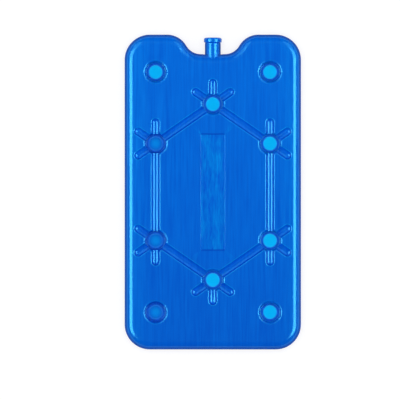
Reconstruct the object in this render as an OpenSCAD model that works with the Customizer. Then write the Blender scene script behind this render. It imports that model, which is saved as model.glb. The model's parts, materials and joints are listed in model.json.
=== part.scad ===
/* [Body] */
// Width of the pack, over its parting line
pack_width = 140; // [130:1:160]
// Length of the pack, over its parting line
pack_length = 250; // [240:1:280]
// Thickness of the pack
pack_thickness = 15; // [14.8:0.1:18]
// Radius of the four corners, seen from the front
corner_radius = 20; // [18:0.5:26]
// Radius of the rounded edge, front and back
edge_radius = 7.3; // [5:0.1:7.3]
// How far the parting line stands out of the edge
parting_height = 0.25; // [0.1:0.05:0.5]
// Width of the parting line
parting_width = 0.6; // [0.3:0.1:1]

/* [Neck notch] */
// Width of the straight floor of the notch
notch_floor_width = 18.8; // [16:0.2:24]
// Radius of the round shoulders of the notch
shoulder_radius = 17.5; // [16:0.5:20]
// Radius of the hollow curves beside the notch floor
heel_radius = 13.5; // [12:0.5:16]
// Steepest lean of the notch flanks, in degrees
flank_angle = 60; // [56:1:64]

/* [Kiss-off dimples] */
// Thickness of the web where front and back meet in a dimple
web_thickness = 2.6; // [1.6:0.1:4]
// Diameter of the flat web disc
web_diameter = 11.4; // [10:0.2:13]
// Radius of the fillet round the web disc
web_fillet = 0.9; // [0.5:0.1:1.2]
// Draft of the dimple wall, in degrees
wall_draft = 20; // [12:1:26]
// Radius of the rounded lip of a dimple
dimple_lip = 1.9; // [1.6:0.1:3]
// Distance from the side of the pack to the middle of the dimples
column_inset = 24.6; // [22:0.2:28]
// Distance from the end of the pack to the corner dimples
corner_inset = 29.7; // [26:0.1:34]
// Distance from the end of the pack to the end stars
end_star_inset = 55.2; // [52:0.2:60]
// Distance between the upper and lower side stars
star_row_spacing = 77; // [70:0.5:84]

/* [Star grooves] */
// Width of a groove over its rounded lips
groove_width = 7.8; // [7:0.1:8.8]
// Radius of the hollow bottom of a groove
groove_hollow = 3.35; // [3.1:0.05:4]
// Radius of the rounded lips of a groove
groove_lip = 1.2; // [0.9:0.1:1.5]
// Reach of a free arm from the centre of its star
arm_reach = 20.6; // [18:0.2:21]

/* [Front panel] */
// Width of the shallow panel on the front
panel_width = 19.2; // [12:0.2:24]
// Length of the shallow panel
panel_length = 92; // [70:1:96]
// Depth of the shallow panel
panel_depth = 0.4; // [0.2:0.1:1]
// Corner radius of the shallow panel
panel_corner = 1.2; // [0.5:0.1:3]

/* [Neck] */
// Outer diameter of the filling neck
neck_diameter = 12; // [11:0.1:13]
// Height of the neck above the notch floor
neck_height = 9.1; // [8:0.1:11]
// Radius of the hollow flare at the foot of the neck
neck_flare = 10; // [7:0.5:14]
// How much the flare widens the neck, all round
neck_flare_width = 1.2; // [0.4:0.1:1.3]
// Bore of the neck
neck_bore = 8.4; // [7:0.1:9]
// Depth of the bore below the neck rim
bore_depth = 12; // [11:0.5:16]

/* [Filler plug] */
// Diameter of the plug flange
flange_diameter = 14.3; // [13:0.1:14.6]
// Height of the plug flange
flange_height = 4; // [3:0.1:5]
// Radius of the soft outer edge of the flange
flange_edge = 1.5; // [0.4:0.1:1.8]
// Clearance between spigot and bore, all round
spigot_clearance = 0.1; // [0.05:0.05:0.3]
// Length of the spigot below the flange
spigot_length = 9; // [6:0.5:10]
// Chamfer at the tip of the spigot
spigot_chamfer = 0.8; // [0.4:0.1:1.2]

/* [Hidden] */
$fn = 72;

half_width = pack_width / 2;
half_length = pack_length / 2;
mid_height = pack_thickness / 2;

// Cutters reach this far past the surface that they cut
overcut = 1;
// A rounded lip ends this far above its face, and bites this far into its wall
lip_rise = 0.01;
lip_bite = 0.02;

// Pieces of the body that share no joint line overlap by this much
overlap = 2;

// The two arcs of a notch flank meet where both lean by flank_angle
centre_distance = shoulder_radius + heel_radius;
heel_x = notch_floor_width / 2;
shoulder_x = heel_x + centre_distance * sin(flank_angle);
shoulder_y = half_length - shoulder_radius;
heel_y = shoulder_y + centre_distance * cos(flank_angle);
notch_floor = heel_y - heel_radius;

// Dimples: the wall runs up from its foot at the web fillet and leads into the lip
column_x = half_width - column_inset;
corner_y = half_length - corner_inset;
end_star_y = half_length - end_star_inset;
star_row_y = star_row_spacing / 2;
dimple_depth = (pack_thickness - web_thickness) / 2;
wall_foot = [web_diameter / 2 + web_fillet * cos(wall_draft),
    web_fillet * (1 - sin(wall_draft)) - dimple_depth];
wall_top_z = lip_rise - dimple_lip * (1 - sin(wall_draft));
wall_top = [wall_foot[0] + (wall_top_z - wall_foot[1]) * tan(wall_draft), wall_top_z];
dimple_lip_centre = wall_top + dimple_lip * [cos(wall_draft), -sin(wall_draft)];

// Diagonal grooves run from the side stars to the end stars
diagonal_angle = atan((end_star_y - star_row_y) / column_x);
diagonal_length = norm([column_x, end_star_y - star_row_y]);

// Grooves start this far inside the top of the dimple wall
groove_lead = 0.7;
groove_start = wall_top[0] - groove_lead;
groove_half = groove_width / 2;
// Lean of the groove wall where the hollow bottom leads into the rounded lip
groove_lean = asin(groove_half / (groove_hollow + groove_lip));
groove_depth = (groove_hollow + groove_lip) * (1 - cos(groove_lean));
// The mouth of a groove reaches this far below the height where hollow and lips meet
groove_overlap = 0.1;

neck_radius = neck_diameter / 2;
// The flare of the neck ends this far above the notch floor, or below it where negative
neck_flare_rise = -1;
spigot_diameter = neck_bore - 2 * spigot_clearance;

// Steps of a small fillet that is drawn as a polygon
fillet_steps = 4;

// Points on an arc about the centre c, from angle a0 to a1
function arc(c, r, a0, a1) =
    [for (i = [0:fillet_steps]) let (a = a0 + (a1 - a0) * i / fillet_steps) c + r * [cos(a), sin(a)]];

// Moves a shape to p in three ever shorter steps, so that no digit of p is lost
module place(p) {
    whole = [for (v = p) floor(v)];
    thousandths = [for (v = p - whole) floor(1000 * v) / 1000];
    translate(whole)
        translate(thousandths)
            translate(p - whole - thousandths)
                children();
}

// Quarter disc in the first quadrant
module quarter_disc(r) {
    intersection() {
        circle(r = r);
        square(r + overcut);
    }
}

// Section through the rounded edge: solid from x = 0 to the parting line at x = reach
module edge_section(reach) {
    skin = reach - parting_height;
    square([skin - edge_radius, pack_thickness]);
    translate([skin - edge_radius, edge_radius])
        square([edge_radius, pack_thickness - 2 * edge_radius]);
    translate([skin - edge_radius, pack_thickness - edge_radius])
        quarter_disc(edge_radius);
    translate([skin - edge_radius, edge_radius])
        mirror([0, 1])
            quarter_disc(edge_radius);
    translate([skin - edge_radius, mid_height - parting_width / 2])
        square([edge_radius + parting_height, parting_width]);
}

// Straight stretch of edge along Y, with its outer side towards +X
module straight_edge(reach, y0, y1) {
    translate([0, y1, 0])
        rotate([90, 0, 0])
            linear_extrude(height = y1 - y0)
                edge_section(reach);
}

// Round corner about its own centre, from angle a0 over the given sweep
module round_edge(radius, a0, sweep) {
    rotate([0, 0, a0])
        rotate_extrude(angle = sweep)
            edge_section(radius);
}

// Hollow curve about a centre outside the pack, with material from radius to radius + reach
module hollow_edge(radius, reach, a0, sweep) {
    rotate([0, 0, a0])
        rotate_extrude(angle = sweep)
            translate([radius + reach, 0])
                mirror([1, 0])
                    edge_section(reach);
}

// Right half of the rim. Where two stretches of one line meet between arcs, they overlap
module rim_half() {
    end_stretch = (half_width - corner_radius - shoulder_x + overlap) / 2;
    translate([half_width - corner_radius, 0, 0])
        straight_edge(corner_radius, corner_radius - half_length, half_length - corner_radius);
    translate([half_width - corner_radius, corner_radius - half_length, 0])
        round_edge(corner_radius, -90, 90);
    translate([half_width - corner_radius, half_length - corner_radius, 0]) {
        round_edge(corner_radius, 0, 90);
        rotate([0, 0, 90])
            straight_edge(corner_radius, 0, end_stretch);
    }
    place([shoulder_x, shoulder_y, 0]) {
        round_edge(shoulder_radius, 90, flank_angle);
        rotate([0, 0, 90])
            straight_edge(shoulder_radius, -end_stretch, 0);
    }
    place([heel_x, heel_y, 0]) {
        hollow_edge(heel_radius, shoulder_radius, -90, flank_angle);
        translate([0, -centre_distance, 0])
            rotate([0, 0, 90])
                straight_edge(shoulder_radius, 0, heel_x + overlap);
    }
}

module rim() {
    rim_half();
    mirror([1, 0, 0])
        rim_half();
    translate([0, corner_radius - half_length, 0])
        rotate([0, 0, -90])
            straight_edge(corner_radius, corner_radius - half_width, half_width - corner_radius);
}

// Flat middle of the pack, reaching a little way into the rim all round
module core() {
    side = half_width - corner_radius + overlap;
    bottom = corner_radius - half_length - overlap;
    top = max(half_length - corner_radius, shoulder_y) + overlap;
    floor_end = notch_floor - shoulder_radius + overlap;
    linear_extrude(height = pack_thickness)
        polygon([
            [-side, bottom], [side, bottom], [side, top], [shoulder_x, top], [heel_x, floor_end],
            [-heel_x, floor_end], [-shoulder_x, top], [-side, top]
        ]);
}

// Turns a shape into the neck's place, with Z along the neck from the notch floor
module along_neck() {
    place([0, notch_floor, mid_height])
        rotate([-90, 0, 0])
            children();
}

// Filling neck with a flared foot, and the parting line running up both of its sides
module neck() {
    full_height = edge_radius + neck_height;
    along_neck() {
        rotate_extrude()
            difference() {
                translate([0, -edge_radius])
                    square([neck_radius + neck_flare_width, full_height]);
                translate([neck_radius, neck_flare_rise])
                    square([neck_flare_width + overcut, full_height]);
                translate([neck_radius + neck_flare, neck_flare_rise])
                    circle(r = neck_flare);
            }
        translate([-neck_radius - parting_height, -parting_width / 2, -edge_radius])
            cube([neck_diameter + 2 * parting_height, parting_width, full_height]);
    }
}

// Half section of a dimple, down from its face at height 0
module dimple_section() {
    difference() {
        polygon(concat(
            [[0, overcut], [0, -dimple_depth]],
            arc([web_diameter / 2, web_fillet - dimple_depth], web_fillet, -90, -wall_draft),
            [wall_top + lip_bite * [cos(wall_draft), -sin(wall_draft)]],
            [dimple_lip_centre, [dimple_lip_centre[0], overcut]]
        ));
        translate(dimple_lip_centre)
            circle(r = dimple_lip);
    }
}

module dimple() {
    rotate_extrude()
        dimple_section();
}

// Section across a groove, down from its face at height 0
module groove_section() {
    lip_x = groove_half - lip_bite;
    mouth_z = -groove_lip * (1 - cos(groove_lean)) - groove_overlap;
    difference() {
        union() {
            intersection() {
                translate([0, groove_hollow - groove_depth])
                    circle(r = groove_hollow);
                translate([-groove_half, -2 * groove_depth])
                    square([groove_width, 2 * groove_depth]);
            }
            translate([-lip_x, mouth_z])
                square([2 * lip_x, overcut - mouth_z]);
        }
        for (side = [-1, 1])
            translate([side * lip_x, lip_rise - groove_lip])
                circle(r = groove_lip);
    }
}

// Straight groove along X
module channel(x0, x1) {
    translate([x0, 0, 0])
        rotate([90, 0, 90])
            linear_extrude(height = x1 - x0)
                groove_section();
}

// Free arm of a star along X, with a round end
module arm() {
    end_x = arm_reach - groove_half;
    channel(groove_start, end_x);
    translate([end_x, 0, 0])
        rotate([0, 0, -90])
            rotate_extrude(angle = 180)
                intersection() {
                    groove_section();
                    translate([0, -2 * groove_depth])
                        square([groove_width, 2 * groove_depth + 2 * overcut]);
                }
}

// Dimples and grooves in the upper right quarter of a face
module face_quarter() {
    translate([column_x, corner_y, 0])
        dimple();
    translate([column_x, star_row_y, 0]) {
        dimple();
        for (angle = [90, diagonal_angle, -diagonal_angle])
            rotate([0, 0, angle])
                arm();
        rotate([0, 0, 180 - diagonal_angle])
            channel(groove_start, diagonal_length - groove_start);
    }
    translate([0, end_star_y, 0])
        rotate([0, 0, diagonal_angle])
            arm();
}

// Everything sunk into one face: four quarters, the end stars and the two long side grooves
module face_relief() {
    for (end = [0, 1])
        mirror([0, end, 0]) {
            for (side = [0, 1])
                mirror([side, 0, 0])
                    face_quarter();
            translate([0, end_star_y, 0]) {
                dimple();
                rotate([0, 0, 90])
                    arm();
            }
        }
    for (side = [-1, 1])
        translate([side * column_x, 0, 0])
            rotate([0, 0, 90])
                channel(groove_start - star_row_y, star_row_y - groove_start);
}

// Shallow plain panel in the middle of the front
module panel() {
    x = panel_width / 2 - panel_corner;
    y = panel_length / 2 - panel_corner;
    translate([0, 0, pack_thickness - panel_depth])
        linear_extrude(height = panel_depth + overcut)
            polygon(concat(
                arc([x, y], panel_corner, 0, 90), arc([-x, y], panel_corner, 90, 180),
                arc([-x, -y], panel_corner, 180, 270), arc([x, -y], panel_corner, 270, 360)
            ));
}

module pack_body() {
    color("royalblue")
        difference() {
            union() {
                rim();
                core();
                neck();
            }
            translate([0, 0, pack_thickness])
                face_relief();
            mirror([0, 0, 1])
                face_relief();
            panel();
            along_neck()
                translate([0, 0, neck_height - bore_depth])
                    cylinder(d = neck_bore, h = bore_depth + overcut);
        }
}

// Plug: a flange that closes the neck and a spigot down its bore
module filler_plug() {
    flange_radius = flange_diameter / 2;
    spigot_radius = spigot_diameter / 2;
    color("royalblue")
        along_neck()
            translate([0, 0, neck_height])
                rotate_extrude() {
                    square([flange_radius - flange_edge, flange_height]);
                    square([flange_radius, flange_height - flange_edge]);
                    translate([flange_radius - flange_edge, flange_height - flange_edge])
                        quarter_disc(flange_edge);
                    polygon([
                        [0, 0], [0, -spigot_length], [spigot_radius - spigot_chamfer, -spigot_length],
                        [spigot_radius, spigot_chamfer - spigot_length], [spigot_radius, 0]
                    ]);
                }
}

pack_body();
filler_plug();
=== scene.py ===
"""Looks of the reusable ice pack. The pack lies on its back and the camera looks straight down on it.

Lengths are in metres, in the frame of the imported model: X across the pack, Y towards its neck, Z up.
"""

import json
import math

import bpy
import numpy as np
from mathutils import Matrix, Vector
from mathutils.geometry import delaunay_2d_cdt

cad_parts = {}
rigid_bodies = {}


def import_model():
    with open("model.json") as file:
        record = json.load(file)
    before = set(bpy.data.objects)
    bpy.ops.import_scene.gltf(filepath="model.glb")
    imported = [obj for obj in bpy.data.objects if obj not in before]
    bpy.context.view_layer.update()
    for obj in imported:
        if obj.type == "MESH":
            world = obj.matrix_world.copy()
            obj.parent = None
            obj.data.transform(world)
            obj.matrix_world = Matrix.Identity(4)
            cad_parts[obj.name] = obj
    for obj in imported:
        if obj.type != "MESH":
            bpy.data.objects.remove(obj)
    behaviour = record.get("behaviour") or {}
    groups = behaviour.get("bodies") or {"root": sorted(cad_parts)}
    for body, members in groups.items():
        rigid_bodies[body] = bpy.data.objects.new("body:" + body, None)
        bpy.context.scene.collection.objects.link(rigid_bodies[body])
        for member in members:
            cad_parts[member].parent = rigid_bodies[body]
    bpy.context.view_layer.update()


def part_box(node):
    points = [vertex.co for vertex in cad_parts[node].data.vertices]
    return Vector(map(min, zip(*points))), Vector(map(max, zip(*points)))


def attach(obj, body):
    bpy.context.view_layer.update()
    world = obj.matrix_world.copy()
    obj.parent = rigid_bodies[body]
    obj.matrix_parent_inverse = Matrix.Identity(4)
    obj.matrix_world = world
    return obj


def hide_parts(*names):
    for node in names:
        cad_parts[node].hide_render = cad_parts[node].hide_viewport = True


# Outline and rounded edge
CORNER_RADIUS = 0.020
EDGE_RADIUS = 0.0073
PARTING_HEIGHT = 0.00025
PARTING_WIDTH = 0.0006
PARTING_CHAMFER = 0.00008

# Notch
NOTCH_FLOOR_WIDTH = 0.0188
SHOULDER_RADIUS = 0.0175
HEEL_RADIUS = 0.0135
FLANK_ANGLE = math.radians(60)

# Dimples
WEB_THICKNESS = 0.0026
WEB_RADIUS = 0.0057
WEB_FILLET = 0.0009
WALL_DRAFT = math.radians(20)
DIMPLE_LIP = 0.0019
COLUMN_INSET = 0.0246
CORNER_INSET = 0.0297
END_STAR_INSET = 0.0552
STAR_ROW_SPACING = 0.077

# Grooves
GROOVE_WIDTH = 0.0078
GROOVE_HOLLOW = 0.00335
GROOVE_LIP = 0.0012
ARM_REACH = 0.0206

# Panel
PANEL_WIDTH = 0.0192
PANEL_LENGTH = 0.092
PANEL_DEPTH = 0.0004
PANEL_CORNER = 0.0012
PANEL_ROUND = 0.00021

# Neck and plug
NECK_RADIUS = 0.006
NECK_HEIGHT = 0.0091
NECK_FLARE = 0.010
NECK_FLARE_WIDTH = 0.0012
NECK_FLARE_RISE = -0.001
NECK_CLEAR = 0.0003
NECK_BORE_RADIUS = 0.0042
BORE_DEPTH = 0.012
FLANGE_HEIGHT = 0.004
FLANGE_EDGE = 0.0015
FLANGE_FOOT = 0.0009
NECK_RIM_EDGE = 0.0006
SPIGOT_RADIUS = 0.0041
SPIGOT_LENGTH = 0.009
SPIGOT_CHAMFER = 0.0008

# How finely round things are divided
ARC_STEP = math.radians(3.75)
EDGE_STEPS = 16
LIP_STEPS = 6
HOLLOW_STEPS = 7
FILLET_STEPS = 5
WEB_STEPS = 4
STRAIGHT_STEP = 0.006
PLUG_SIDES = 96
PLUG_EDGE_STEPS = 8
PANEL_STEP_POINTS = 4
PANEL_CORNER_POINTS = 7
NECK_SIDES = 64
NECK_FOOT_RINGS = 6
NECK_FOOT_TRIES = 50

# Points closer than this are one point, and smaller numbers than the next two count as nothing
MERGE_STEP = 1e-7
ROUND_OFF = 1e-9
NO_LENGTH = 1e-12

# The neck's parting line starts to rise at this share of its angle. A short line marks each row of the
# rounded edge at the corners of the notch floor
PARTING_FOOT = 1.25
NOTCH_CORNER_TICK = 0.001

# The grooves reach a little into the rounded edge, so its first rows belong to the faces
FACE_ROWS = 2

# Colours, as the shader takes them, and the gloss
# The face blends from FACE_BLUE_LOW to FACE_BLUE_HIGH towards the top end: painted light
FACE_BLUE_HIGH = (0.0, 0.134, 0.74, 1.0)
FACE_BLUE_LOW = (0.0, 0.10, 0.63, 1.0)
# Painted shade in the relief and along the panel's ends
DEEP_BLUE = (0.0, 0.06, 0.54, 1.0)
# Painted shade on the outer edge
RIM_BLUE = (0.0, 0.03, 0.42, 1.0)
# Painted light through the thin webs, and the dimmer painted light of some of them
WEB_CYAN = (0.0, 0.52, 0.97, 1.0)
SHADED_WEB = (0.0, 0.26, 0.80, 1.0)
WEB_SOFT_EDGE = 0.0010
# Painted light towards the long sides: where it starts and is full, and its factors for red, green and blue
SIDE_GLOW_REACH = (0.048, 0.063)
SIDE_GLOW = (1.0, 1.22, 1.06)
# Painted highlight on the lips: its strength, and its share on the dimples
LIP_GLOW = 0.26
DIMPLE_LIP_SHARE = 0.35
STREAK_TINT = (0.18, 0.06)
PANEL_TINT = (0.5, 0.07)
FACE_ROUGHNESS = 0.15
MATT_ROUGHNESS = 0.9
ROUGHNESS_SWING = 0.02
PLUG_SMOOTHER = 0.04
PLASTIC_IOR = 1.5
GLOSS_LEVEL = 0.5
GLOSS_TINT = (0.12, 0.9, 1.0, 1.0)

# Noises in the plastic: grains a metre along X, Y and Z, and how fine and how hard some of them are
DIE_LINES = (640.0, 24.0, 60.0)
BROAD_LINES = (90.0, 5.0, 40.0)
MOTTLE = (55.0, 40.0, 55.0)
GRAIN = (1600.0, 1100.0, 1600.0)
PANEL_LINES = (1000.0, 120.0, 60.0)
PANEL_CLOUDS = (170.0, 60.0, 60.0)
PLUG_RINGS = (60.0, 2600.0, 60.0)
PLUG_GRAIN = (1500.0, 1500.0, 1500.0)
GRAIN_DETAIL = 2.0
DIE_LINE_HARDNESS = 0.6
PANEL_LINE_HARDNESS = 0.7

# The stretch of a noise that is used, and how far each one swings the colour or the bumps
NOISE_RANGE = (0.3, 0.7)
CLOUD_RANGE = (0.4, 0.62)
BROAD_SWING = 0.25
MOTTLE_SWING = 0.25
PANEL_SWING = 0.9
PLUG_TONE = (0.95, 1.05)
BUMP_DEPTH = 0.00004
SHELL_BUMP = {"strength": 0.2, "share": 0.4}
PLUG_BUMP = {"strength": 0.3, "share": 0.6}

# Where the relief and the outer edge get painted shade in deeper blue, matt roughness, or painted light on the
# lips
GROOVE_SHADE_LEAN = (math.radians(34), math.radians(52))
GROOVE_WALL_SHADE = 0.85
UPPER_WALL_EASE = 0.7
HOLLOW_REACH = 0.0026
HOLLOW_SHADE = 0.25
DIMPLE_SHADE_DEPTH = (0.0003, 0.0013)
FOOT_MATT_REACH = (0.0064, 0.0070)
RIM_SHADE_LEAN = (math.radians(40), math.radians(62))
LIP_LIGHT_LEAN = (0.0, math.radians(10), math.radians(20), math.radians(40))
RIM_MATT_LEAN = (math.radians(38), math.radians(55))
# Painted shade along the panel's top and bottom ends: its strength and width
PANEL_END_SHADE = 0.8
PANEL_END_WIDTH = 0.0013
DIMPLE_LIP_START = WEB_RADIUS + 2 * WEB_FILLET

# The webs left of the middle and below this place along the pack get a dimmer painted light, which fades from
# their middle
DIM_WEB_LIGHT_TOP = 0.077

# Floor, world and lamps
FLOOR_SIZE = 8.0
FLOOR_DROP = 0.0001
FLOOR_GREY = 0.8
FLOOR_WHITE = 0.75
FLOOR_SHADOW = 0.3
WORLD_LEVEL = 0.55
CEILING_MIRRORED = 0.05
CEILING_GLOW = 0.45
CEILING_START = 0.15
GLOW_REACH = (0.05, 0.35)
GLOW_RISE = (0.6, 0.8)
SIDE_LEVELS = (0.6, 1.4)
OVERHEAD_HEIGHT = 2.5
OVERHEAD_SIZE = 2.5
OVERHEAD_RADIANCE = 1.9
STRIP_DISTANCE = 1.3
STRIP_ANGLE = math.radians(42)
STRIPS = (
    {"width": 0.5, "length": 0.85, "radiance": 14.0, "shift": -0.22},
    {"width": 0.85, "length": 1.1, "radiance": 9.0, "shift": 0.05},
    {"width": 0.95, "length": 2.4, "radiance": 2.5, "shift": 0.35},
)

# Camera
SENSOR_WIDTH = 36.0
CAMERA_HEIGHT = 4.0
VIEW_WIDTH = 0.3177
VIEW_MIDDLE = (-0.01017, -0.00631)


def clear_scene():
    """Empties the scene that Blender starts with."""
    for thing in list(bpy.data.objects):
        bpy.data.objects.remove(thing)


def add_object(name, data):
    """Puts a mesh, lamp or camera into the scene."""
    thing = bpy.data.objects.new(name, data)
    bpy.context.scene.collection.objects.link(thing)
    return thing


def polar(angle):
    """Unit vector at an angle from +X."""
    return np.array([math.cos(angle), math.sin(angle)])


def steps_for(length, step):
    """How many steps, none longer than step, fill a length."""
    return max(1, math.ceil(length / step - ROUND_OFF))


def away_from_line(points, start, end):
    """The shortest way from a stretch of line to each point, and how long it is."""
    reach = end - start
    share = np.clip(((points - start) @ reach) / (reach @ reach), 0, 1)
    away = points - start - share[:, None] * reach
    return away, np.linalg.norm(away, axis=1)


class Profile:
    """Height and lean of a round-bottomed hollow by distance from its middle, from its edge inwards."""

    def __init__(self, rows):
        self.distance, self.height, self.lean = np.array(rows).T

    def height_at(self, distance):
        return np.interp(distance, self.distance[::-1], self.height[::-1], right=0)

    def lean_at(self, distance):
        return np.interp(distance, self.distance[::-1], self.lean[::-1], right=0)

    def distance_at(self, height):
        """How far from the middle a height is met, or nothing below the bottom."""
        if height < self.height[-1] - MERGE_STEP:
            return None
        return float(np.interp(height, self.height[::-1], self.distance[::-1]))


def groove_profile():
    """Rounded lips that lead into a hollow bottom."""
    half = GROOVE_WIDTH / 2
    lean = math.asin(half / (GROOVE_HOLLOW + GROOVE_LIP))
    depth = (GROOVE_HOLLOW + GROOVE_LIP) * (1 - math.cos(lean))
    rows = []
    for a in np.linspace(0, lean, LIP_STEPS + 1):
        rows.append((half - GROOVE_LIP * math.sin(a), GROOVE_LIP * (math.cos(a) - 1), a))
    for a in np.linspace(lean, 0, HOLLOW_STEPS + 1)[1:]:
        rows.append((GROOVE_HOLLOW * math.sin(a), GROOVE_HOLLOW * (1 - math.cos(a)) - depth, a))
    return Profile(rows)


def dimple_profile(groove):
    """Rounded lip, drafted wall and filleted foot round a flat web, with a row at each groove height."""
    depth = (THICKNESS - WEB_THICKNESS) / 2
    foot_lean = math.pi / 2 - WALL_DRAFT
    foot = (
        WEB_RADIUS + WEB_FILLET * math.sin(foot_lean),
        WEB_FILLET * (1 - math.cos(foot_lean)) - depth,
    )
    top_height = DIMPLE_LIP * (math.cos(foot_lean) - 1)
    top = foot[0] + (top_height - foot[1]) * math.tan(WALL_DRAFT)
    lip_centre = top + DIMPLE_LIP * math.sin(foot_lean)
    rows = []
    for height in sorted({*groove.height, top_height}, reverse=True):
        if height >= top_height:
            lean = math.acos(1 + height / DIMPLE_LIP)
            rows.append((lip_centre - DIMPLE_LIP * math.sin(lean), height, lean))
        else:
            rows.append((top - (top_height - height) * math.tan(WALL_DRAFT), height, foot_lean))
    for lean in np.linspace(foot_lean, 0, FILLET_STEPS + 1):
        rows.append(
            (
                WEB_RADIUS + WEB_FILLET * math.sin(lean),
                WEB_FILLET * (1 - math.cos(lean)) - depth,
                lean,
            )
        )
    for share in np.linspace(1, 0, WEB_STEPS, endpoint=False):
        rows.append(((WEB_RADIUS - WEB_SOFT_EDGE) * share, -depth, 0.0))
    return Profile(rows)


class Plan:
    """Points and lines of a drawing that is filled with triangles."""

    def __init__(self):
        self.points, self.edges = [], []

    def line(self, points, closed=False):
        first = len(self.points)
        self.points += [tuple(p) for p in points]
        count = len(points)
        self.edges += [(first + i, first + i + 1) for i in range(count - 1)]
        if closed:
            self.edges.append((first + count - 1, first))

    def triangles(self):
        """The filled drawing: its points, its triangles, and which drawn point each point is, or -1."""
        made = delaunay_2d_cdt([Vector(p) for p in self.points], self.edges, [], 0, MERGE_STEP)
        points = np.array([tuple(v) for v in made[0]])
        origins = np.array([min(origin, default=-1) for origin in made[3]])
        drawn = origins >= 0
        points[drawn] = np.array(self.points)[origins[drawn]]
        return points, np.array([list(f) for f in made[2]]), origins


def inside(points, loop):
    """Which points lie inside a closed loop."""
    found = np.zeros(len(points), bool)
    for (x0, y0), (x1, y1) in zip(loop, np.roll(loop, -1, axis=0)):
        crosses = (y0 > points[:, 1]) != (y1 > points[:, 1])
        with np.errstate(divide="ignore", invalid="ignore"):
            x = x0 + (points[:, 1] - y0) * (x1 - x0) / (y1 - y0)
        found ^= crosses & (points[:, 0] < x)
    return found


class Rim:
    """The rounded edge that follows the outline, as seen from one face."""

    def __init__(self, points, normals, rows):
        self.points, self.normals, self.rows = points, normals, rows
        self.drawn_heights = np.repeat(rows[: FACE_ROWS + 1, 1] - THICKNESS, len(points))
        self.drawn_leans = np.repeat(rows[: FACE_ROWS + 1, 2], len(points))
        self.drawn_normals = np.tile(normals, (FACE_ROWS + 1, 1))

    def loop(self, row):
        return self.points - self.normals * self.rows[row, 0]

    def draw(self, plan):
        """Has to come first in a plan, so that drawn points are known by their number."""
        for row in range(FACE_ROWS + 1):
            plan.line(self.loop(row), closed=True)

    def field(self, points, origins=None):
        """Height below the face, lean and inward direction, by the distance from the outline."""
        inset = np.full(len(points), np.inf)
        outward = np.zeros((len(points), 2))
        for a, b in zip(self.points, np.roll(self.points, -1, axis=0)):
            share = np.clip(((points - a) @ (b - a)) / ((b - a) @ (b - a)), 0, 1)
            reach = a + share[:, None] * (b - a) - points
            distance = np.linalg.norm(reach, axis=1)
            nearer = distance < inset
            inset[nearer] = distance[nearer]
            outward[nearer] = reach[nearer]
        rows = self.rows[: EDGE_STEPS + 1][::-1]
        sunk = np.clip((rows[-1, 0] - inset) / EDGE_RADIUS, 0, 1)
        lean = np.arcsin(sunk)
        height = -EDGE_RADIUS * (1 - np.cos(lean))
        if origins is not None:
            known = (origins >= 0) & (origins < len(self.drawn_heights))
            height[known] = self.drawn_heights[origins[known]]
            lean[known] = self.drawn_leans[origins[known]]
            outward[known] = self.drawn_normals[origins[known]]
        return height, lean, -outward


class Patches:
    """Collects pieces of surface with exact normals, and joins them into one mesh."""

    def __init__(self):
        self.corners, self.normals, self.faces, self.count = [], [], [], 0

    def add(self, points, faces, normals):
        """Points and normals go by corner: each face has its own normal at each of its corners."""
        for face, lean in zip(faces, normals):
            self.faces.append(range(self.count, self.count + len(face)))
            self.count += len(face)
            self.corners.append(points[list(face)])
            self.normals.append(lean)

    def grid(self, points, normals, wrap=False):
        """A sheet of rows and columns of points, facing out where rows go down and columns anticlockwise."""
        rows, columns = points.shape[:2]
        across = columns if wrap else columns - 1
        for i in range(rows - 1):
            for j in range(across):
                k = (j + 1) % columns
                cell = [(i, j), (i + 1, j), (i + 1, k), (i, k)]
                self.faces.append(range(self.count, self.count + 4))
                self.count += 4
                self.corners.append(np.array([points[c] for c in cell]))
                self.normals.append(np.array([normals[c] for c in cell]))

    def object(self, name):
        corners = np.vstack(self.corners)
        normals = np.vstack(self.normals)
        keys = np.round(corners / MERGE_STEP).astype(np.int64)
        _, first, index = np.unique(keys, axis=0, return_index=True, return_inverse=True)
        index = index.reshape(-1)
        faces, loop_normals = [], []
        for face in self.faces:
            kept = [c for c in face if index[c] != index[face[(c - face[0] + 1) % len(face)]]]
            if len(kept) > 2:
                faces.append([int(index[c]) for c in kept])
                loop_normals += [tuple(normals[c]) for c in kept]
        mesh = bpy.data.meshes.new(name)
        mesh.from_pydata([tuple(c) for c in corners[first]], [], faces)
        mesh.shade_smooth()
        mesh.normals_split_custom_set(loop_normals)
        return add_object(name, mesh)


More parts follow.
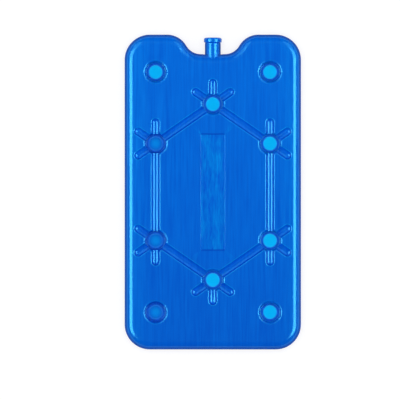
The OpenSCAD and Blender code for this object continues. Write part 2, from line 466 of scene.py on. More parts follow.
class Relief:
    """Everything sunk into one face: dimples, grooves and, on the front, the panel."""

    def __init__(self, with_panel):
        self.groove = groove_profile()
        self.dimple = dimple_profile(self.groove)
        self.with_panel = with_panel
        x = HALF_WIDTH - COLUMN_INSET
        corner_y = HALF_LENGTH - CORNER_INSET
        end_y = HALF_LENGTH - END_STAR_INSET
        row_y = STAR_ROW_SPACING / 2
        slant = math.atan((end_y - row_y) / x)
        up = math.pi / 2
        self.plain = [(s * x, e * corner_y) for s in (-1, 1) for e in (-1, 1)]
        self.stars = {}
        self.arms = []
        self.links = []
        for e in (-1, 1):
            end_star = (0.0, e * end_y)
            outward = [e * up, e * slant, e * (math.pi - slant)]
            self.stars[end_star] = [*outward, -e * slant, e * (slant - math.pi)]
            self.arms += [(end_star, a) for a in outward]
            for s in (-1, 1):
                star = (s * x, e * row_y)
                out = 0 if s > 0 else math.pi
                free = [e * up, out + slant, out - slant]
                self.stars[star] = [*free, -e * up, math.pi - out + s * e * -slant]
                self.arms += [(star, a) for a in free]
                self.links.append((star, end_star))
        self.links += [((s * x, -row_y), (s * x, row_y)) for s in (-1, 1)]
        self.arm_end = ARM_REACH - GROOVE_WIDTH / 2

    def dimples(self):
        return [*self.plain, *self.stars]

    def segments(self):
        """Middle lines of all grooves, from the centre of their star."""
        arms = [(np.array(c), np.array(c) + self.arm_end * polar(a)) for c, a in self.arms]
        return arms + [(np.array(a), np.array(b)) for a, b in self.links]

    def draw(self, plan):
        for centre in self.plain:
            for radius in self.dimple.distance:
                self.draw_arc(plan, centre, radius, 0, 2 * math.pi)
        for centre, angles in self.stars.items():
            self.draw_star(plan, centre, angles)
        for centre, angle in self.arms:
            self.draw_arm(plan, centre, angle)
        for start, end in self.links:
            self.draw_link(plan, start, end)
        if self.with_panel:
            for distance, _, _ in self.panel_rows():
                plan.line(panel_loop(distance), closed=True)

    def draw_arc(self, plan, centre, radius, start, end):
        count = steps_for(end - start, ARC_STEP)
        whole = end - start >= 2 * math.pi - ROUND_OFF
        angles = np.linspace(start, end, count + 1)
        points = [np.array(centre) + radius * polar(a) for a in (angles[:-1] if whole else angles)]
        plan.line(points, closed=whole)

    def junction(self, height):
        """Where a groove's contour at this height meets the dimple's: along and beside the groove."""
        beside = self.groove.distance_at(height)
        radius = self.dimple.distance_at(height)
        return math.sqrt(radius**2 - beside**2), beside

    def draw_star(self, plan, centre, angles):
        angles = sorted(a % (2 * math.pi) for a in angles)
        for radius, height in zip(self.dimple.distance, self.dimple.height):
            beside = self.groove.distance_at(height)
            if beside is None:
                self.draw_arc(plan, centre, radius, 0, 2 * math.pi)
                continue
            gap = math.asin(beside / radius)
            for a, b in zip(angles, [*angles[1:], angles[0] + 2 * math.pi]):
                self.draw_arc(plan, centre, radius, a + gap, b - gap)
        for angle in angles:
            places = [self.junction(h) for h in self.dimple.height if h >= self.groove.height[-1]]
            for side in (-1, 1):
                plan.line([on_axis(centre, angle, s, side * d) for s, d in places])

    def draw_arm(self, plan, centre, angle):
        for beside, height in zip(self.groove.distance, self.groove.height):
            start = self.junction(height)[0]
            count = steps_for(self.arm_end - start, STRAIGHT_STEP)
            along = np.linspace(start, self.arm_end, count + 1)
            line = [on_axis(centre, angle, s, beside) for s in along]
            if beside > MERGE_STEP:
                count = steps_for(math.pi, 2 * ARC_STEP)
                turn = np.linspace(math.pi / 2, -math.pi / 2, count + 1)[1:-1]
                line += [
                    on_axis(centre, angle, self.arm_end + beside * math.cos(t), beside * math.sin(t))
                    for t in turn
                ]
                line += [on_axis(centre, angle, s, -beside) for s in along[::-1]]
            plan.line(line)

    def draw_link(self, plan, start, end):
        reach = np.array(end) - np.array(start)
        angle = math.atan2(reach[1], reach[0])
        length = np.linalg.norm(reach)
        for beside, height in zip(self.groove.distance, self.groove.height):
            first = self.junction(height)[0]
            count = steps_for(length - 2 * first, STRAIGHT_STEP)
            along = np.linspace(first, length - first, count + 1)
            for side in (-1, 1) if beside > MERGE_STEP else (1,):
                plan.line([on_axis(start, angle, s, side * beside) for s in along])

    def panel_rows(self):
        """Distance outside the panel's edge, height and lean of the contours of its small rounded step."""
        lean = math.acos(1 - PANEL_DEPTH / (2 * PANEL_ROUND))
        half = PANEL_ROUND * math.sin(lean)
        rows = []
        for a in np.linspace(0, lean, PANEL_STEP_POINTS):
            rows.append((half - PANEL_ROUND * math.sin(a), PANEL_ROUND * (math.cos(a) - 1), a))
        for a in np.linspace(lean, 0, PANEL_STEP_POINTS)[1:]:
            height = PANEL_ROUND * (1 - math.cos(a)) - PANEL_DEPTH
            rows.append((PANEL_ROUND * math.sin(a) - half, height, a))
        return rows

    def hollows(self, points):
        """For each hollow: its height, its lean and the direction away from its middle, at all points."""
        for centre in self.dimples():
            away = points - np.array(centre)
            distance = np.linalg.norm(away, axis=1)
            yield self.dimple.height_at(distance), self.dimple.lean_at(distance), away
        for a, b in self.segments():
            away, distance = away_from_line(points, a, b)
            yield self.groove.height_at(distance), self.groove.lean_at(distance), away
        if self.with_panel:
            half = np.array([PANEL_WIDTH, PANEL_LENGTH]) / 2 - PANEL_CORNER
            beyond = np.abs(points) - half
            outer = np.maximum(beyond, 0)
            furthest = beyond.max(axis=1)
            nearest = np.where(furthest[:, None] > 0, outer, beyond == furthest[:, None])
            distance = np.linalg.norm(outer, axis=1) + np.minimum(furthest, 0) - PANEL_CORNER
            rows = np.array(self.panel_rows())[::-1]
            height = np.interp(distance, rows[:, 0], rows[:, 1], right=0)
            lean = np.interp(distance, rows[:, 0], rows[:, 2])
            yield height, lean, nearest * np.sign(points)

    def surface(self, points, triangles, rim, origins):
        """Heights of the points, and the normals at the corners of each triangle."""
        centres = points[triangles].mean(axis=1)
        height = np.zeros(len(points))
        lowest = np.full(len(triangles), -MERGE_STEP)
        flat = np.array([0.0, 0.0, 1.0])
        normals = np.tile(flat, (len(triangles), 3, 1))
        at_points = [rim.field(points, origins), *self.hollows(points)]
        at_centres = [rim.field(centres), *self.hollows(centres)]
        for (h, lean, away), (centre_h, _, _) in zip(at_points, at_centres):
            height = np.minimum(height, h)
            length = np.maximum(np.linalg.norm(away, axis=1), NO_LENGTH)
            tilted = np.column_stack([-away / length[:, None] * np.sin(lean)[:, None], np.cos(lean)])
            mine = centre_h < lowest
            lowest = np.where(mine, centre_h, lowest)
            normals[mine] = tilted[triangles[mine]]
        return height, normals


def on_axis(centre, angle, along, beside):
    """A point given along and beside a line that leaves centre at an angle."""
    u = polar(angle)
    return np.array(centre) + along * u + beside * np.array([-u[1], u[0]])


def panel_loop(distance):
    """Outline of the panel, this far outside its edge."""
    radius = PANEL_CORNER + distance
    half = np.array([PANEL_WIDTH, PANEL_LENGTH]) / 2 - PANEL_CORNER
    turn = np.linspace(0, math.pi / 2, PANEL_CORNER_POINTS)
    corners = []
    for quarter, (sx, sy) in enumerate([(1, 1), (-1, 1), (-1, -1), (1, -1)]):
        start = quarter * math.pi / 2
        corners.append([half * (sx, sy) + radius * polar(start + t) for t in turn])
    loop = []
    for corner, following in zip(corners, corners[1:] + corners[:1]):
        loop += corner
        gap = following[0] - corner[-1]
        count = steps_for(np.linalg.norm(gap), STRAIGHT_STEP)
        loop += [corner[-1] + gap * i / count for i in range(1, count)]
    return loop


def outline():
    """Points of the outline over the parting line, anticlockwise, and the normal at each.

    Also where the notch floor starts and ends among them.
    """
    side = HALF_WIDTH - CORNER_RADIUS
    end = HALF_LENGTH - CORNER_RADIUS
    quarter = math.pi / 2
    turn = quarter + FLANK_ANGLE
    arcs = [
        ((side, -end), CORNER_RADIUS, -quarter, 0),
        ((side, end), CORNER_RADIUS, 0, quarter),
        (SHOULDER, SHOULDER_RADIUS, quarter, turn),
        (HEEL, -HEEL_RADIUS, turn - math.pi, -quarter),
        ((-HEEL[0], HEEL[1]), -HEEL_RADIUS, -quarter, -turn),
        ((-SHOULDER[0], SHOULDER[1]), SHOULDER_RADIUS, math.pi - turn, quarter),
        ((-side, end), CORNER_RADIUS, quarter, 2 * quarter),
        ((-side, -end), CORNER_RADIUS, 2 * quarter, 3 * quarter),
    ]
    points, normals, ends = [], [], []
    for centre, radius, start, stop in arcs:
        if points:
            gap = np.array(centre) + abs(radius) * polar(start) - points[-1]
            count = steps_for(np.linalg.norm(gap), 2 * STRAIGHT_STEP)
            ends.append(len(points) - 1)
            if np.linalg.norm(gap) > MERGE_STEP:
                points += [points[-1] + gap * i / count for i in range(1, count)]
                normals += [normals[-1]] * (count - 1)
        for angle in np.linspace(start, stop, steps_for(abs(stop - start), ARC_STEP) + 1):
            point = np.array(centre) + abs(radius) * polar(angle)
            if points and np.linalg.norm(point - points[-1]) < MERGE_STEP:
                continue
            points.append(point)
            normals.append(math.copysign(1, radius) * polar(angle))
    floor_start = ends[3]
    later = range(floor_start + 1, len(points))
    floor_end = next(i for i in later if points[i][0] < -HEEL[0] + MERGE_STEP)
    return np.array(points), np.array(normals), floor_start, floor_end


def rim_profile():
    """Rows of the rounded edge from front to back.

    A row has an inset from the outline, a height, and the lean of the normal on either side of it.
    """
    inset = EDGE_RADIUS + PARTING_HEIGHT
    ridge = PARTING_WIDTH / 2
    last = math.acos((MID_HEIGHT + ridge - THICKNESS + EDGE_RADIUS) / EDGE_RADIUS)
    upper = []
    for a in np.linspace(0, last, EDGE_STEPS + 1):
        place = (inset - EDGE_RADIUS * math.sin(a), THICKNESS - EDGE_RADIUS * (1 - math.cos(a)))
        upper.append((*place, a, a if a < last else 0.0))
    chamfer = PARTING_CHAMFER
    upper.append((chamfer, MID_HEIGHT + ridge, 0.0, math.pi / 4))
    upper.append((0.0, MID_HEIGHT + ridge - chamfer, math.pi / 4, math.pi / 2))
    lower = [(i, THICKNESS - z, math.pi - after, math.pi - before) for i, z, before, after in upper[::-1]]
    return np.array(upper + lower)


def rim_rows(points, normals, rows):
    """Places and normals of the rim: one sheet for each stretch between two rows."""
    for (i0, z0, _, a0), (i1, z1, a1, _) in zip(rows[:-1], rows[1:]):
        sheet, lean = [], []
        for inset, z, a in ((i0, z0, a0), (i1, z1, a1)):
            flat = points - normals * inset
            sheet.append(np.column_stack([flat, np.full(len(flat), z)]))
            lean.append(np.column_stack([normals * math.sin(a), np.full(len(flat), math.cos(a))]))
        yield np.array(sheet), np.array(lean)


def neck_radius_at(y):
    """Radius of the neck at a place along the pack, with its hollow flare towards the notch floor."""
    below = np.clip(NOTCH_FLOOR + NECK_FLARE_RISE - y, 0, NECK_FLARE)
    radius = NECK_RADIUS + NECK_FLARE - np.sqrt(NECK_FLARE**2 - below**2)
    return np.minimum(radius, NECK_RADIUS + NECK_FLARE_WIDTH)


def neck_angles():
    """Angles round the neck, with the parting line on both of its sides."""
    line = math.asin(PARTING_WIDTH / 2 / NECK_RADIUS)
    edge = line * PARTING_FOOT
    angles = []
    for i in range(NECK_SIDES):
        angle = 2 * math.pi * i / NECK_SIDES
        if i % (NECK_SIDES // 2) == 0:
            angles += [angle - edge, angle - line, angle + line, angle + edge]
        else:
            angles.append(angle)
    raised = [abs(math.sin(a)) < math.sin(line) + ROUND_OFF for a in angles]
    return np.array(angles), np.array(raised) * PARTING_HEIGHT


def on_neck(y, angles, swell):
    """Points of the neck's outer wall."""
    radius = neck_radius_at(y) + swell
    return np.column_stack([radius * np.cos(angles), y, MID_HEIGHT + radius * np.sin(angles)])


def neck_foot(rows, angles, swell):
    """Where the neck's wall meets the rounded edge of the notch floor, and how far down the edge that is."""
    girth = np.concatenate([[0], np.cumsum(np.hypot(np.diff(rows[:, 0]), np.diff(rows[:, 1])))])
    height = rows[::-1, 1]
    low = np.full(len(angles), NOTCH_FLOOR - 2 * EDGE_RADIUS)
    high = np.full(len(angles), NOTCH_FLOOR + NECK_CLEAR)
    for _ in range(NECK_FOOT_TRIES):
        y = (low + high) / 2
        z = on_neck(y, angles, swell)[:, 2]
        outside = y > NOTCH_FLOOR - np.interp(z, height, rows[::-1, 0])
        high = np.where(outside, y, high)
        low = np.where(outside, low, y)
    foot = on_neck(high, angles, swell)
    return foot, np.interp(foot[:, 2], height, girth[::-1]), girth


def radial(angles, lean_y=0.0):
    """Normals of a wall round the neck's axis, leaning towards +Y."""
    along = np.full(len(angles), 1.0) * np.sin(lean_y)
    across = np.cos(lean_y)
    return np.column_stack([np.cos(angles) * across, along, np.sin(angles) * across])


def add_neck(body, rows, front_edge):
    """The neck, and the stretch of rounded edge that it grows out of."""
    angles, swell = neck_angles()
    foot, down, girth = neck_foot(rows, angles, swell)
    plan = Plan()
    half = NOTCH_FLOOR_WIDTH / 2
    back_edge = [(x, girth[-1]) for x in front_edge[::-1]]
    plan.line([*[(x, 0) for x in front_edge], *back_edge], closed=True)
    for g in girth[1:-1]:
        for side in (-1, 1):
            plan.line([(side * half, g), (side * (half - NOTCH_CORNER_TICK), g)])
    plan.line([(x, g) for x, g in zip(foot[:, 0], down)], closed=True)
    points, triangles, _ = plan.triangles()
    hole = np.column_stack([foot[:, 0], down])
    centres = points[triangles].mean(axis=1)
    kept = triangles[~inside(centres, hole)]
    inset = np.interp(points[:, 1], girth, rows[:, 0])
    z = np.interp(points[:, 1], girth, rows[:, 1])
    places = np.column_stack([points[:, 0], NOTCH_FLOOR - inset, z])
    row = np.clip(np.searchsorted(girth, points[kept][:, :, 1].mean(axis=1)) - 1, 0, len(girth) - 2)
    share = (points[kept][:, :, 1] - girth[row, None]) / (girth[row + 1] - girth[row])[:, None]
    lean = rows[row, 3, None] * (1 - share) + rows[row + 1, 2, None] * share
    normals = np.stack([np.zeros(lean.shape), np.sin(lean), np.cos(lean)], axis=2)
    body.add(places, kept, normals)

    top = NOTCH_FLOOR + NECK_HEIGHT
    clear = NOTCH_FLOOR + NECK_CLEAR
    rings, leans = [], []
    for share in np.linspace(0, 1, NECK_FOOT_RINGS):
        y = foot[:, 1] + share * (clear - foot[:, 1])
        below = np.clip(NOTCH_FLOOR + NECK_FLARE_RISE - y, 0, NECK_FLARE)
        inside_flare = neck_radius_at(y) < NECK_RADIUS + NECK_FLARE_WIDTH - MERGE_STEP
        slope = np.where(inside_flare, np.arcsin(below / NECK_FLARE), 0)
        rings.append(on_neck(y, angles, swell))
        leans.append(radial(angles, slope))
    for a in np.linspace(0, math.pi / 2, PLUG_EDGE_STEPS + 1):
        y = np.full(len(angles), top - NECK_RIM_EDGE * (1 - math.sin(a)))
        rings.append(on_neck(y, angles, swell - NECK_RIM_EDGE * (1 - math.cos(a))))
        leans.append(radial(angles, a))
    body.grid(np.array(rings), np.array(leans), wrap=True)

    bore_bottom = top - BORE_DEPTH
    mouth = ring(NECK_BORE_RADIUS, top, angles)
    body.grid(np.array([rings[-1], mouth]), np.array([radial(angles, math.pi / 2)] * 2), wrap=True)
    add_turned(
        body,
        [
            (NECK_BORE_RADIUS, top, math.pi, math.pi),
            (NECK_BORE_RADIUS, bore_bottom, math.pi, math.pi / 2),
            (0.0, bore_bottom, math.pi / 2, math.pi / 2),
        ],
        angles,
    )


def ring(radius, y, angles):
    """Points round the neck's axis."""
    return np.column_stack(
        [radius * np.cos(angles), np.full(len(angles), y), MID_HEIGHT + radius * np.sin(angles)]
    )


def add_turned(body, turns, angles):
    """A turned surface. A row has a radius, a place along Y, and the lean of the normal before and after."""
    for (r0, y0, _, a0), (r1, y1, a1, _) in zip(turns[:-1], turns[1:]):
        sheet = [ring(r0, y0, angles), ring(r1, y1, angles)]
        body.grid(np.array(sheet), np.array([radial(angles, a0), radial(angles, a1)]), wrap=True)


def add_face(body, relief, rim, front):
    """Front or back face with its relief, and the first rows of the rounded edge."""
    plan = Plan()
    rim.draw(plan)
    relief.draw(plan)
    points, triangles, origins = plan.triangles()
    triangles = triangles[inside(points[triangles].mean(axis=1), rim.loop(FACE_ROWS))]
    height, normals = relief.surface(points, triangles, rim, origins)
    if front:
        places = np.column_stack([points, THICKNESS + height])
        body.add(places, triangles, normals)
    else:
        places = np.column_stack([points, -height])
        body.add(places, triangles[:, ::-1], (normals * (1, 1, -1))[:, ::-1])


def make_body():
    """The whole shell: two faces, the rounded edge between them, and the neck."""
    body = Patches()
    points, normals, floor_start, floor_end = outline()
    rows = rim_profile()
    rim = Rim(points, normals, rows)
    add_face(body, Relief(with_panel=True), rim, front=True)
    add_face(body, Relief(with_panel=False), rim, front=False)
    order = [*range(floor_end, len(points)), *range(0, floor_start + 1)]
    side_rows = rows[FACE_ROWS:-FACE_ROWS]
    for sheet, lean in rim_rows(points[order], normals[order], side_rows):
        body.grid(sheet, lean)
    add_neck(body, side_rows, points[floor_start : floor_end + 1, 0])
    return body.object("shell")


def make_plug():
    """Flange and spigot as one turned piece, with a soft outer edge."""
    plug_low, plug_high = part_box("filler_plug")
    flange = (plug_high.x - plug_low.x) / 2
    base = NOTCH_FLOOR + NECK_HEIGHT
    end = base + FLANGE_HEIGHT
    foot = base - SPIGOT_LENGTH
    across, down = 0.0, -math.pi / 2
    turns = [
        (0.0, foot, down, down),
        (SPIGOT_RADIUS - SPIGOT_CHAMFER, foot, down, down / 2),
        (SPIGOT_RADIUS, foot + SPIGOT_CHAMFER, down / 2, across),
        (SPIGOT_RADIUS, base, across, down),
    ]
    for a in np.linspace(-math.pi / 2, 0, PLUG_EDGE_STEPS + 1):
        radius = flange - FLANGE_FOOT * (1 - math.cos(a))
        turns.append((radius, base + FLANGE_FOOT * (1 + math.sin(a)), a, a))
    for a in np.linspace(0, math.pi / 2, PLUG_EDGE_STEPS + 1):
        radius = flange - FLANGE_EDGE * (1 - math.cos(a))
        turns.append((radius, end - FLANGE_EDGE * (1 - math.sin(a)), a, a))
    turns.append((0.0, end, math.pi / 2, math.pi / 2))
    plug = Patches()
    add_turned(plug, turns, np.linspace(0, 2 * math.pi, PLUG_SIDES, endpoint=False))
    return plug.object("plug")


def ramp(values, start, end):
    """0 before start, 1 after end, and smooth between them."""
    share = np.clip((values - start) / (end - start), 0, 1)
    return share * share * (3 - 2 * share)


def lit_lip(profile, inner, distance):
    """Where a rounded lip gets a painted highlight, a little way over its edge."""
    lean = profile.lean_at(distance)
    start, full, fade, end = LIP_LIGHT_LEAN
    lit = np.minimum(ramp(lean, start, full), 1 - ramp(lean, fade, end))
    return np.where(distance > inner, lit, 0)


def nearest_dimple(relief, flat):
    """How far the middle of the nearest dimple is from each point, and where it is."""
    centres = np.array(relief.dimples())
    distances = np.linalg.norm(flat[:, None] - centres[None], axis=2)
    return distances.min(axis=1), centres[distances.argmin(axis=1)]


def nearest_groove(relief, flat):
    """How far the nearest groove's middle line is from each point, and how squarely the point is above it."""
    beside, above = np.full(len(flat), np.inf), np.zeros(len(flat))
    for start, end in relief.segments():
        away, distance = away_from_line(flat, start, end)
        upward = away[:, 1] / np.maximum(distance, MERGE_STEP)
        above = np.where(distance < beside, upward, above)
        beside = np.minimum(beside, distance)
    return beside, above


def edge_lean(points):
    """How far the rounded edge, or the round of the neck, leans at each point."""
    rise = np.abs(points[:, 2] - MID_HEIGHT)
    lean = np.arccos(np.clip((rise - MID_HEIGHT + EDGE_RADIUS) / EDGE_RADIUS, 0, 1))
    near_axis = np.abs(points[:, 0]) < NECK_RADIUS + PARTING_HEIGHT
    on_neck = near_axis & (points[:, 1] > NOTCH_FLOOR + MERGE_STEP)
    return np.where(on_neck, np.arccos(np.clip(rise / NECK_RADIUS, 0, 1)), lean)


def groove_shade(groove, beside, above):
    """Painted shade, a deeper blue, on a groove's walls, less on one that faces down the pack, and a little in
    its hollow.
    """
    wall = ramp(groove.lean_at(beside), *GROOVE_SHADE_LEAN) * GROOVE_WALL_SHADE
    wall = wall * (1 - UPPER_WALL_EASE * np.clip(above, 0, 1))
    return np.where(beside < HOLLOW_REACH, np.maximum(wall, HOLLOW_SHADE), wall)


def paint(shell):
    """Marks each point: painted light through the webs, painted shade and painted highlights on the lips of
    the relief, painted shade on the edge, matt places, panel.
    """
    mesh = shell.data
    points = np.array([v.co for v in mesh.vertices])
    flat = points[:, :2]
    relief = Relief(with_panel=False)
    nearest, centre = nearest_dimple(relief, flat)
    beside, above = nearest_groove(relief, flat)
    in_groove = relief.groove.height_at(beside) < relief.dimple.height_at(nearest)

    # Webs with a dimmer painted light, fading from their middle
    dim_web_light = (centre[:, 0] < 0) & (centre[:, 1] < DIM_WEB_LIGHT_TOP)
    # Painted light through the webs, with a soft edge
    bright = np.clip((WEB_RADIUS - nearest) / WEB_SOFT_EDGE, 0, 1)
    faint = np.clip(1 - (nearest / WEB_RADIUS) ** 2, 0, 1)

    # Painted shade on the dimples' walls, from a little below the face
    dimple_shade = ramp(-relief.dimple.height_at(nearest), *DIMPLE_SHADE_DEPTH)
    # Painted highlights on the lips of grooves and dimples
    groove_lip_light = lit_lip(relief.groove, GROOVE_HOLLOW, beside)
    dimple_lip_light = lit_lip(relief.dimple, DIMPLE_LIP_START, nearest) * DIMPLE_LIP_SHARE

    lean = edge_lean(points)
    on_edge = (nearest > DIMPLE_REACH) & (beside > GROOVE_WIDTH / 2)
    at_foot = np.where(in_groove, 0, (1 - ramp(nearest, *FOOT_MATT_REACH)) * (1 - bright))

    beyond = np.abs(flat) - np.array([PANEL_WIDTH, PANEL_LENGTH]) / 2
    painted = {
        "web": np.where(dim_web_light, faint, bright),
        "shaded_web": dim_web_light,
        "shade": np.where(in_groove, groove_shade(relief.groove, beside, above), dimple_shade),
        # Painted shade on the outer edge
        "rim": np.where(on_edge, ramp(lean, *RIM_SHADE_LEAN), 0),
        "matt": np.where(on_edge, ramp(lean, *RIM_MATT_LEAN), at_foot),
        "panel": (beyond.max(axis=1) < -PANEL_ROUND / 2) & (points[:, 2] > MID_HEIGHT),
        "lip": np.where(in_groove, groove_lip_light, dimple_lip_light),
    }
    for name, values in painted.items():
        layer = mesh.attributes.new(name, "FLOAT", "POINT")
        layer.data.foreach_set("value", values.astype(np.float32))


class Nodes:
    """Short ways to add and join shader nodes."""

    def __init__(self, tree):
        self.tree = tree
        tree.nodes.clear()

    def add(self, kind, inputs=None, **settings):
        node = self.tree.nodes.new(kind)
        for key, value in settings.items():
            setattr(node, key, value)
        for key, value in (inputs or {}).items():
            if isinstance(value, bpy.types.NodeSocket):
                self.tree.links.new(value, node.inputs[key])
            else:
                node.inputs[key].default_value = value
        return node

    def math(self, operation, *values):
        return self.add("ShaderNodeMath", dict(enumerate(values)), operation=operation).outputs[0]

    def mix(self, factor, a, b, blend="MIX"):
        inputs = {0: factor, 6: a, 7: b}
        return self.add("ShaderNodeMix", inputs, data_type="RGBA", blend_type=blend).outputs[2]

    def spread(self, value, low, high, to_low=0.0, to_high=1.0, smooth=False):
        node = self.add(
            "ShaderNodeMapRange",
            {0: value, 1: low, 2: high, 3: to_low, 4: to_high},
            interpolation_type="SMOOTHSTEP" if smooth else "LINEAR",
        )
        return node.outputs[0]

    def noise(self, place, scale, detail=3.0, roughness=0.5):
        """Noise with its own size of grain along X, Y and Z, in grains a metre."""
        moved = self.add("ShaderNodeMapping", {"Vector": place, "Scale": scale}).outputs[0]
        settings = {"Vector": moved, "Scale": 1.0, "Detail": detail, "Roughness": roughness}
        return self.add("ShaderNodeTexNoise", settings).outputs[0]

    def swing(self, noise, reach):
        """Turns a noise into values from -reach to reach."""
        return self.spread(noise, *NOISE_RANGE, -reach, reach)

    def tint(self, value, green, blue):
        """Factors for red, green and blue that grow with a value by so much green and blue."""
        grown_green = self.math("MULTIPLY_ADD", value, green, 1.0)
        grown_blue = self.math("MULTIPLY_ADD", value, blue, 1.0)
        return self.add("ShaderNodeCombineColor", {0: 1.0, 1: grown_green, 2: grown_blue}).outputs[0]

    def times(self, a, b):
        """One colour multiplied by another."""
        return self.mix(1.0, a, b, "MULTIPLY")

    def bumps(self, first, second, strength, share):
        """Fine bumps from two noises, with this share of the first."""
        parts = [self.math("MULTIPLY", first, share), self.math("MULTIPLY", second, 1 - share)]
        height = self.math("ADD", *parts)
        settings = {"Strength": strength, "Distance": BUMP_DEPTH, "Height": height}
        return self.add("ShaderNodeBump", settings).outputs[0]

    def blend(self, share, a, b):
        return self.add("ShaderNodeMix", {0: share, 2: a, 3: b}, data_type="FLOAT").outputs[0]

    def painted(self, name):
        return self.add("ShaderNodeAttribute", attribute_name=name).outputs["Fac"]


def new_material(name):
    """An empty material, and its nodes."""
    material = bpy.data.materials.new(name)
    material.use_nodes = True
    return material, Nodes(material.node_tree)


def colour(red, green, blue):
    return (red, green, blue, 1.0)


def plastic(base, roughness, normal, nodes):
    """Ends a material in a semi-gloss plastic."""
    shader = nodes.add(
        "ShaderNodeBsdfPrincipled",
        {
            "Base Color": base,
            "Roughness": roughness,
            "Normal": normal,
            "IOR": PLASTIC_IOR,
            "Specular IOR Level": GLOSS_LEVEL,
            "Specular Tint": GLOSS_TINT,
        },
    )
    nodes.add("ShaderNodeOutputMaterial", {"Surface": shader.outputs[0]})


def panel_ends(nodes, axes):
    """A line of painted shade along the top and the bottom end of the panel."""
    from_middle = nodes.math("ABSOLUTE", axes["Y"])
    from_end = nodes.math("ABSOLUTE", nodes.math("SUBTRACT", from_middle, PANEL_LENGTH / 2))
    line = nodes.spread(from_end, 0.0, PANEL_END_WIDTH, 1.0, 0.0, smooth=True)
    sideways = nodes.math("ABSOLUTE", axes["X"])
    across = nodes.math("LESS_THAN", sideways, PANEL_WIDTH / 2 - PANEL_ROUND)
    on_front = nodes.math("GREATER_THAN", axes["Z"], MID_HEIGHT)
    front_shade = nodes.math("MULTIPLY", on_front, PANEL_END_SHADE)
    return nodes.math("MULTIPLY", nodes.math("MULTIPLY", line, across), front_shade)


def face_colour(nodes, place, axes, die_lines):
    """Blue with painted light towards the top and the sides, with die lines and a soft mottle."""
    # Painted light: the face grows lighter towards the top end
    upward = nodes.spread(axes["Y"], -HALF_LENGTH, HALF_LENGTH)
    base = nodes.mix(upward, FACE_BLUE_LOW, FACE_BLUE_HIGH)
    # Painted light: lighter and greener towards the sides
    at_side = nodes.spread(nodes.math("ABSOLUTE", axes["X"]), *SIDE_GLOW_REACH, smooth=True)
    base = nodes.times(base, nodes.mix(at_side, colour(1, 1, 1), colour(*SIDE_GLOW)))
    broad_lines = nodes.swing(nodes.noise(place, BROAD_LINES), BROAD_SWING)
    mottle = nodes.swing(nodes.noise(place, MOTTLE), MOTTLE_SWING)
    streaks = nodes.math("ADD", nodes.swing(die_lines, 1.0), broad_lines)
    streaks = nodes.math("ADD", streaks, mottle)
    return nodes.times(base, nodes.tint(streaks, *STREAK_TINT))


def panel_tint(nodes, place):
    """The streakier finish of the panel, as factors for the colour of the face."""
    lines = nodes.noise(place, PANEL_LINES, roughness=PANEL_LINE_HARDNESS)
    clouds = nodes.spread(nodes.noise(place, PANEL_CLOUDS), *CLOUD_RANGE)
    worn = nodes.math("ADD", nodes.swing(lines, PANEL_SWING), clouds)
    return nodes.tint(nodes.math("MULTIPLY", nodes.painted("panel"), worn), *PANEL_TINT)


def shell_material():
    """Blue blow-moulded polyethylene, with painted shade in the relief, and painted light on its lips and
    through its webs.
    """
    material, nodes = new_material("blow_moulded_blue")
    place = nodes.add("ShaderNodeTexCoord").outputs["Object"]
    axes = nodes.add("ShaderNodeSeparateXYZ", {"Vector": place}).outputs
    die_lines = nodes.noise(place, DIE_LINES, roughness=DIE_LINE_HARDNESS)
    grain = nodes.noise(place, GRAIN, GRAIN_DETAIL)

    base = face_colour(nodes, place, axes, die_lines)
    base = nodes.times(base, panel_tint(nodes, place))
    # Painted shade in the relief
    base = nodes.mix(nodes.painted("shade"), base, DEEP_BLUE)
    # Painted shade along the ends of the panel
    base = nodes.mix(panel_ends(nodes, axes), base, DEEP_BLUE)
    # Painted shade on the outer edge
    base = nodes.mix(nodes.painted("rim"), base, RIM_BLUE)
    # Painted highlight on the lips
    base = nodes.mix(nodes.math("MULTIPLY", nodes.painted("lip"), LIP_GLOW), base, WEB_CYAN)
    # Painted light through the webs
    web_colour = nodes.mix(nodes.painted("shaded_web"), WEB_CYAN, SHADED_WEB)
    base = nodes.mix(nodes.painted("web"), base, web_colour)

    smoothest, roughest = FACE_ROUGHNESS - ROUGHNESS_SWING, FACE_ROUGHNESS + ROUGHNESS_SWING
    rough = nodes.spread(die_lines, *NOISE_RANGE, smoothest, roughest)
    rough = nodes.blend(nodes.painted("matt"), rough, MATT_ROUGHNESS)
    plastic(base, rough, nodes.bumps(die_lines, grain, **SHELL_BUMP), nodes)
    return material


def plug_material():
    """Blue injection-moulded polyethylene, a little smoother, with faint turning marks of its mould."""
    material, nodes = new_material("injection_moulded_blue")
    place = nodes.add("ShaderNodeTexCoord").outputs["Object"]
    rings = nodes.noise(place, PLUG_RINGS, GRAIN_DETAIL)
    grain = nodes.noise(place, PLUG_GRAIN, GRAIN_DETAIL)
    tone = nodes.spread(rings, *NOISE_RANGE, *PLUG_TONE)
    grey = nodes.add("ShaderNodeCombineColor", {0: tone, 1: tone, 2: tone}).outputs[0]
    base = nodes.times(FACE_BLUE_HIGH, grey)
    rough = nodes.spread(grain, *NOISE_RANGE, FACE_ROUGHNESS - PLUG_SMOOTHER, FACE_ROUGHNESS)
    plastic(base, rough, nodes.bumps(rings, grain, **PLUG_BUMP), nodes)
    return material


def seen_or_mirrored(nodes):
    """1 for rays from the camera, mirrors and glass."""
    path = nodes.add("ShaderNodeLightPath").outputs
    seen = nodes.math("MAXIMUM", path["Is Camera Ray"], path["Is Glossy Ray"])
    return nodes.math("MAXIMUM", seen, path["Is Transmission Ray"])


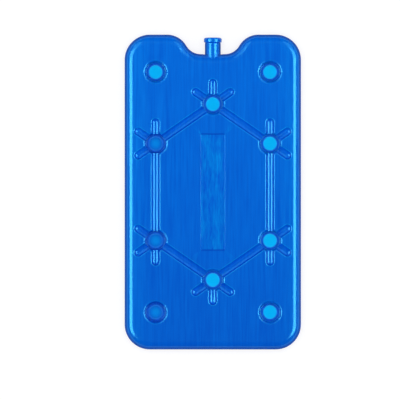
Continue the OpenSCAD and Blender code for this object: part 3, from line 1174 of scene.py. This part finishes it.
def add_floor():
    """White floor that keeps the soft shadow of the pack, a hair below it so that they share no plane."""
    half = FLOOR_SIZE / 2
    mesh = bpy.data.meshes.new("floor")
    signs = ((-1, -1), (1, -1), (1, 1), (-1, 1))
    corners = [(x * half, y * half, -FLOOR_DROP) for x, y in signs]
    mesh.from_pydata(corners, [], [(0, 1, 2, 3)])
    floor = add_object("floor", mesh)
    material, nodes = new_material("white_floor")
    painted = nodes.add("ShaderNodeBsdfDiffuse", {"Color": colour(*[FLOOR_GREY] * 3)}).outputs[0]
    soft = nodes.add("ShaderNodeBsdfDiffuse", {"Color": colour(*[FLOOR_SHADOW] * 3)}).outputs[0]
    glow = nodes.add("ShaderNodeEmission", {"Color": colour(1, 1, 1), "Strength": FLOOR_WHITE}).outputs[0]
    white = nodes.add("ShaderNodeAddShader", {0: soft, 1: glow}).outputs[0]
    shown = nodes.add("ShaderNodeMixShader", {0: seen_or_mirrored(nodes), 1: painted, 2: white})
    nodes.add("ShaderNodeOutputMaterial", {"Surface": shown.outputs[0]})
    mesh.materials.append(material)


def add_world():
    """Soft light from all round. The camera sees white, and mirrors see white walls under a dark ceiling that
    is brighter beyond the top end of the pack."""
    world = bpy.data.worlds.new("studio")
    bpy.context.scene.world = world
    world.use_nodes = True
    nodes = Nodes(world.node_tree)
    direction = nodes.add("ShaderNodeTexCoord").outputs["Generated"]
    apart = nodes.add("ShaderNodeSeparateXYZ", {"Vector": direction}).outputs
    path = nodes.add("ShaderNodeLightPath").outputs
    sideways = nodes.math("ABSOLUTE", apart["X"])
    plain = nodes.math("MULTIPLY", nodes.spread(sideways, 0.0, 1.0, *SIDE_LEVELS), WORLD_LEVEL)
    mirrored = nodes.spread(apart["Z"], 0.0, CEILING_START, 1.0, CEILING_MIRRORED, smooth=True)
    beyond_top = nodes.spread(apart["Y"], *GLOW_REACH, 0.0, CEILING_GLOW, smooth=True)
    overhead = nodes.spread(apart["Z"], *GLOW_RISE, smooth=True)
    mirrored = nodes.math("ADD", mirrored, nodes.math("MULTIPLY", beyond_top, overhead))
    shown = nodes.math("MAXIMUM", mirrored, path["Is Camera Ray"])
    level = nodes.add(
        "ShaderNodeMix", {0: seen_or_mirrored(nodes), 2: plain, 3: shown}, data_type="FLOAT"
    ).outputs[0]
    light = nodes.add("ShaderNodeBackground", {"Color": colour(1, 1, 1), "Strength": level})
    nodes.add("ShaderNodeOutputWorld", {"Surface": light.outputs[0]})


def add_lamp(name, place, width, length, radiance):
    """Area light at a place, aimed at the middle of the pack, with its length along Y."""
    data = bpy.data.lights.new(name, "AREA")
    data.shape = "RECTANGLE"
    data.size, data.size_y = width, length
    data.energy = radiance * math.pi * width * length
    lamp = add_object(name, data)
    lamp.location = place
    lamp.rotation_euler = (0, math.atan2(place[0], place[2]), 0)
    lamp.visible_camera = False
    return lamp


def add_lights():
    """A large soft lamp overhead, and three strips on either side that only show in what the pack mirrors."""
    above = (0, 0, OVERHEAD_HEIGHT)
    overhead = add_lamp("overhead", above, OVERHEAD_SIZE, OVERHEAD_SIZE, OVERHEAD_RADIANCE)
    overhead.visible_glossy = False
    z = STRIP_DISTANCE * math.cos(STRIP_ANGLE)
    for side in (-1, 1):
        x = side * STRIP_DISTANCE * math.sin(STRIP_ANGLE)
        for strip in STRIPS:
            place = (x, strip["shift"], z)
            lamp = add_lamp("strip", place, strip["width"], strip["length"], strip["radiance"])
            lamp.visible_diffuse = False


def add_camera():
    """Long lens straight above. The pack is up and to the right of the middle of the view."""
    data = bpy.data.cameras.new("camera")
    data.sensor_width = SENSOR_WIDTH
    data.lens = SENSOR_WIDTH * (CAMERA_HEIGHT - MID_HEIGHT) / VIEW_WIDTH
    data.clip_end = 2 * CAMERA_HEIGHT
    camera = add_object("camera", data)
    camera.location = (*VIEW_MIDDLE, CAMERA_HEIGHT)
    bpy.context.scene.camera = camera


def dress(thing, material, node):
    """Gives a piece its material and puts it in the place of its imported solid."""
    thing.data.materials.append(material)
    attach(thing, "root")
    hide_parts(node)


clear_scene()
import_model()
body_low, body_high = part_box("pack_body")
HALF_WIDTH = (body_high.x - body_low.x) / 2
HALF_LENGTH = (body_high.y - body_low.y) / 2
THICKNESS = body_high.z - body_low.z
MID_HEIGHT = THICKNESS / 2
CENTRE_DISTANCE = SHOULDER_RADIUS + HEEL_RADIUS
SHOULDER = (NOTCH_FLOOR_WIDTH / 2 + CENTRE_DISTANCE * math.sin(FLANK_ANGLE), HALF_LENGTH - SHOULDER_RADIUS)
HEEL = (NOTCH_FLOOR_WIDTH / 2, SHOULDER[1] + CENTRE_DISTANCE * math.cos(FLANK_ANGLE))
NOTCH_FLOOR = HEEL[1] - HEEL_RADIUS
DIMPLE_REACH = Relief(with_panel=False).dimple.distance[0]

shell = make_body()
paint(shell)
dress(shell, shell_material(), "pack_body")
dress(make_plug(), plug_material(), "filler_plug")
add_floor()
add_world()
add_lights()
add_camera()
bpy.context.scene.view_settings.view_transform = "Standard"
